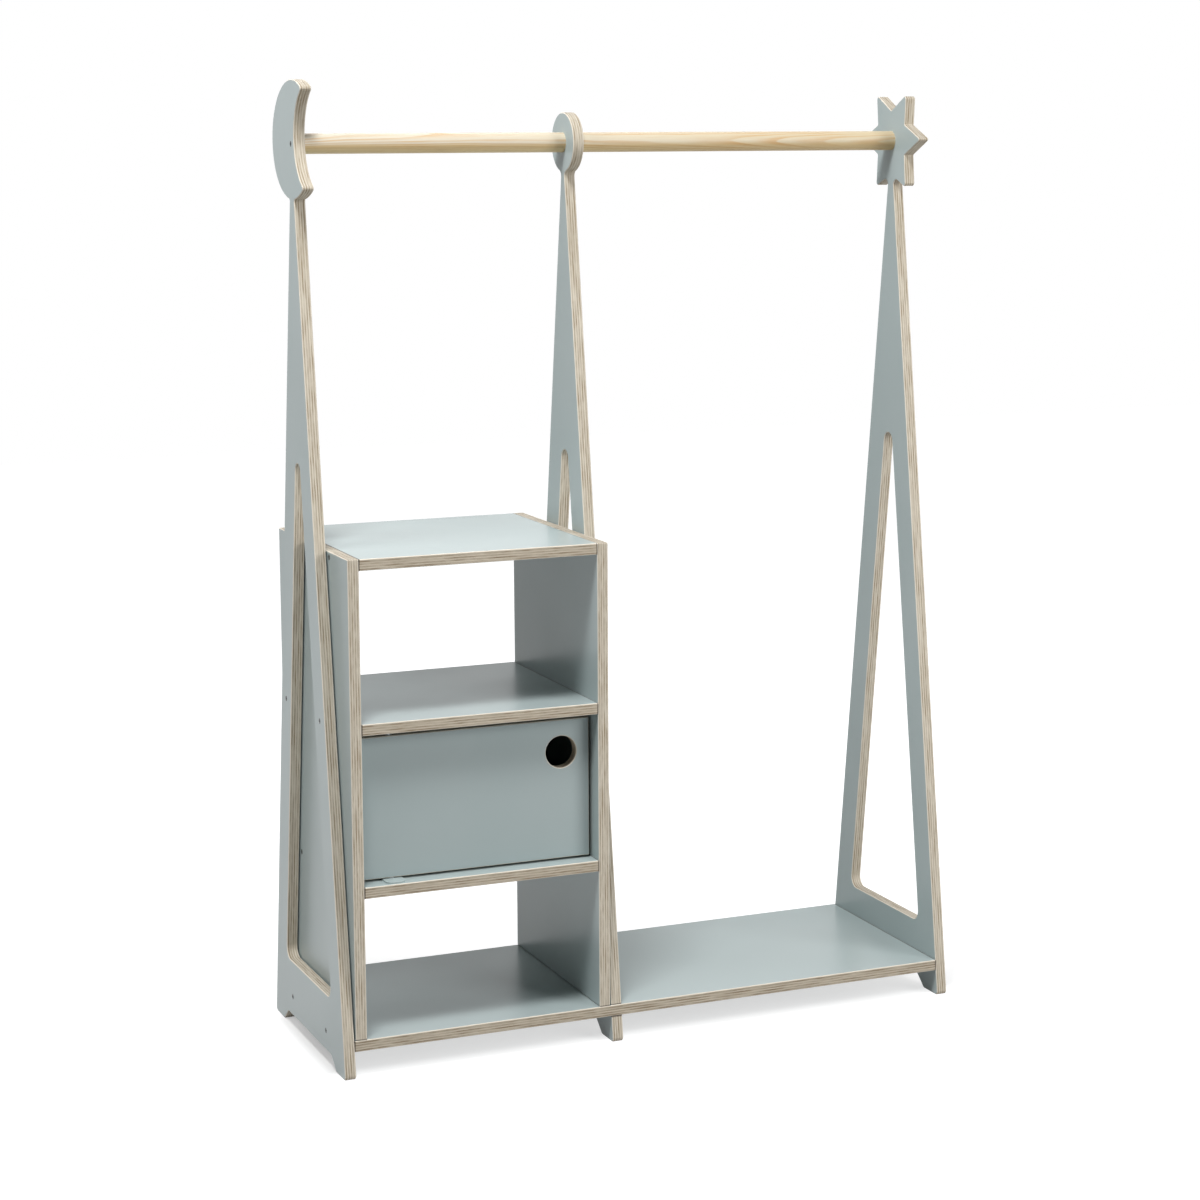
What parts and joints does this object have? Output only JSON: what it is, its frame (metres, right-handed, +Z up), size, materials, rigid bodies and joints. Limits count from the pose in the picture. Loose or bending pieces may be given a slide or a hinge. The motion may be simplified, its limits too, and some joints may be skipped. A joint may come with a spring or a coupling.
{
  "type": "kids wardrobe",
  "caption": "Open clothes rack for a child's room: plywood A-frames with moon, disc and star tops, a wooden rail, a bottom board and a small cabinet with a pivoting door.",
  "frame": {"origin": "on the floor under the middle of the object", "axes": "+X along the clothes rail towards the star, -Y to the front, +Z up"},
  "size_m": [0.94, 0.3402, 1.3566],
  "materials": {
    "painted_plywood": "satin grey-blue faces with bare layered edges",
    "pine": "clear satin lacquer",
    "steel": "brushed",
    "dark_screws": "dark zinc",
    "plastic": "matte"
  },
  "bodies": {
    "wardrobe": {"board_screws": "dark_screws", "bottom_board": "painted_plywood", "cabinet_base_screws": "dark_screws", "cabinet_left_side": "painted_plywood", "cabinet_right_side": "painted_plywood", "cabinet_screws": "dark_screws", "cabinet_spacers": "plastic", "cabinet_top": "painted_plywood", "cabinet_top_screws": "dark_screws", "catch_screws": "steel", "clothes_rail": "pine", "compartment_back": "painted_plywood", "left_frame": "painted_plywood", "lower_pivot_pin": "steel", "lower_pivot_plate": "steel", "lower_plate_screws": "steel", "lower_shelf": "painted_plywood", "lower_shelf_screws": "dark_screws", "magnet_catch": "plastic", "middle_frame": "painted_plywood", "pivot_washer": "steel", "rail_screws": "dark_screws", "right_frame": "painted_plywood", "upper_pivot_pin": "steel", "upper_pivot_plate": "steel", "upper_plate_screws": "steel", "upper_shelf": "painted_plywood"},
    "door_leaf": {"door": "painted_plywood", "lower_pivot_bush": "plastic", "upper_pivot_bush": "plastic", "catch_strike": "steel", "strike_screw": "steel"}
  },
  "joints": [
    {"name": "door_hinge", "type": "hinge", "parent": "wardrobe", "child": "door_leaf", "pos_m": [-0.388, -0.132, 0.37], "axis": [0, 0, -1], "range_deg": [0, 130]}
  ]
}
